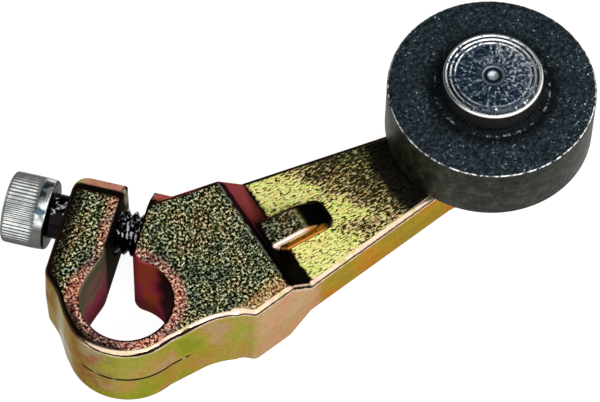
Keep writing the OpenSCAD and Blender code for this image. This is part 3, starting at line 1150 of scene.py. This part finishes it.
def pin_face_colour(m, r):
    """The pin's face: tool rings near the rim painted bright as highlights, a bluish hammered middle,
    a centre dimple painted bright as a highlight.

    Here r is a share of the head's radius.
    """
    right = m.above(m.axes(m.place)[0], ROLLER_X + 1.0, 4.0)
    flecks = m.times(m.noise(3400, 4, roughness=0.75), 0.62)
    flecks = m.scaled(pin_rays(m), 0.38, flecks)
    flecks = m.plus(flecks, m.scaled(right, 0.05, -0.008))
    blue = m.ramp(flecks, [
        (0.40, (0.005, 0.009, 0.018)), (0.49, (0.026, 0.050, 0.095)), (0.55, (0.12, 0.18, 0.25)),
        (0.59, (0.80, 0.86, 0.90))])
    marks = 2 * math.pi * PIN_HEAD_R / TOOL_MARK_PITCH
    wave = m.math("SINE", m.scaled(r, marks, 0.6))
    # rings: painted highlights on the tool rings.
    rings = m.ramp(m.scaled(wave, 0.5, 0.5), [
        (0.52, (0.01, 0.02, 0.03)), (0.76, (0.62, 0.65, 0.67)), (0.95, (1.0, 1.0, 0.98))])
    broken = m.step(m.noise(1500, 3, roughness=0.7), 0.40, 0.52)
    colour = m.mix(m.times(m.step(r, 0.72, 0.76), broken), blue, rings)
    # eye: painted highlight in the centre dimple, with a dark ring round it.
    eye = m.ramp(r, [
        (0.00, (0.72, 0.78, 0.80)), (0.09, (0.40, 0.46, 0.50)), (0.125, (0.010, 0.012, 0.018)),
        (0.18, (0.02, 0.03, 0.05)), (0.215, (0.30, 0.36, 0.40)), (0.24, (0.03, 0.05, 0.08))])
    return m.mix(m.rest(m.step(r, 0.23, 0.27)), colour, eye)


def turned_steel():
    """The pin: its turned face, a painted highlight on the rim where it faces -Y, and painted shade
    on its dark sides.
    """
    m = Nodes("turned_steel")
    r = m.math("DIVIDE", m.radius(ROLLER_X), PIN_HEAD_R * MM)
    _, ny, nz = m.axes(m.normal)
    side = m.rest(m.step(nz, 0.12, 0.45))
    edge = m.without(m.step(r, 0.955, 0.965), side)
    front = m.step(m.times(ny, -1), 0.0, 0.35)
    # rim: painted highlight where the rim faces -Y.
    rim = m.mix(front, (0.16, 0.17, 0.18), (0.80, 0.80, 0.77))
    colour = m.mix(edge, pin_face_colour(m, r), rim)
    # Painted shade on the head's sides.
    colour = m.mix(side, colour, (0.030, 0.028, 0.026))
    m.set("Base Color", colour)
    m.set("Metallic", 0.6)
    m.set("Roughness", m.ramp(m.noise(2600, 2), [(0.3, 0.22), (0.7, 0.38)]))
    m.set("Normal", m.bump(m.noise(3500, 3), 0.5, 0.00006))
    return m.material


def washer_steel():
    m = Nodes("washer_steel")
    cloud = m.ramp(m.noise(2000, 2), [(0.3, (0.22, 0.22, 0.21)), (0.7, (0.40, 0.39, 0.37))])
    m.set("Base Color", cloud)
    m.set("Metallic", 1.0)
    m.set("Roughness", 0.4)
    m.set("Normal", m.bump(m.noise(4000, 2), 0.3, 0.00004))
    return m.material


def dress(piece, material):
    piece.data.materials.clear()
    piece.data.materials.append(material)


# ---------------------------------------------------------------- studio


def make_floor():
    mesh = bpy.data.meshes.new("floor")
    half = 4.0
    level = CAD_BOUNDS[0][2]
    corners = [(-half, -half, level), (half, -half, level), (half, half, level), (-half, half, level)]
    mesh.from_pydata(corners, [], [(0, 1, 2, 3)])
    floor = bpy.data.objects.new("floor", mesh)
    bpy.context.scene.collection.objects.link(floor)
    m = Nodes("pale_floor")
    m.set("Base Color", m.ramp(m.noise(8, 2), [(0.3, 0.29), (0.7, 0.31)]))
    m.set("Roughness", 0.9)
    m.set("Emission Color", (1, 1, 1, 1))
    m.set("Emission Strength", 0.92)
    dress(floor, m.material)


def make_light(name, place, aim, size, power):
    """A soft square light at a place, pointed at another, in metres."""
    lamp = bpy.data.lights.new(name, "AREA")
    lamp.shape = "RECTANGLE"
    lamp.size, lamp.size_y = size, size
    lamp.energy = power
    light = bpy.data.objects.new(name, lamp)
    light.location = place
    light.rotation_euler = (Vector(aim) - Vector(place)).to_track_quat("-Z", "Y").to_euler()
    bpy.context.scene.collection.objects.link(light)


def make_world():
    """A dark studio with one wide soft light that fills the side towards -Y, above the table."""
    world = bpy.data.worlds.new("studio")
    world.use_nodes = True
    tree = world.node_tree
    background = tree.nodes["Background"]
    background.inputs["Strength"].default_value = 1.0
    direction = tree.nodes.new("ShaderNodeTexCoord")
    split = tree.nodes.new("ShaderNodeSeparateXYZ")
    tree.links.new(direction.outputs["Generated"], split.inputs[0])
    steps = []
    for axis, low, high in ((1, 0.10, -0.06), (2, 0.16, 0.24)):
        node = tree.nodes.new("ShaderNodeMapRange")
        node.interpolation_type = "SMOOTHSTEP"
        node.inputs["From Min"].default_value = low
        node.inputs["From Max"].default_value = high
        tree.links.new(split.outputs[axis], node.inputs["Value"])
        steps.append(node.outputs["Result"])
    both = tree.nodes.new("ShaderNodeMath")
    both.operation = "MULTIPLY"
    for socket, source in zip(both.inputs, steps):
        tree.links.new(source, socket)
    ramp = tree.nodes.new("ShaderNodeValToRGB")
    ramp.color_ramp.elements[0].color = (STUDIO_DARK, STUDIO_DARK, STUDIO_DARK, 1)
    ramp.color_ramp.elements[1].color = (STUDIO_BRIGHT, STUDIO_BRIGHT, STUDIO_BRIGHT, 1)
    tree.links.new(both.outputs[0], ramp.inputs["Fac"])
    tree.links.new(ramp.outputs["Color"], background.inputs["Color"])
    bpy.context.scene.world = world


def make_camera():
    """The photograph's viewpoint, solved from the outlines of the bore, hub and roller."""
    lens = bpy.data.cameras.new("camera")
    lens.sensor_width = 36
    lens.lens = CAMERA_LENS
    lens.clip_start = 0.01
    camera = bpy.data.objects.new("camera", lens)
    camera.location = Vector(CAMERA_PLACE) * MM
    camera.rotation_euler = [math.radians(a) for a in CAMERA_TURN]
    bpy.context.scene.collection.objects.link(camera)
    bpy.context.scene.camera = camera


# ---------------------------------------------------------------- the scene

dress(make_lever(), chromate())
dress(make_screw(), bright_zinc())
dress(make_roller(), blackened_steel())
dress(make_pin(), turned_steel())
dress(make_washer(), washer_steel())

make_floor()
make_world()
make_light("front", (0.05, -0.40, 0.35), (0.02, 0, 0), 0.20, 0.8)
make_camera()

bpy.context.scene.view_settings.view_transform = "Standard"
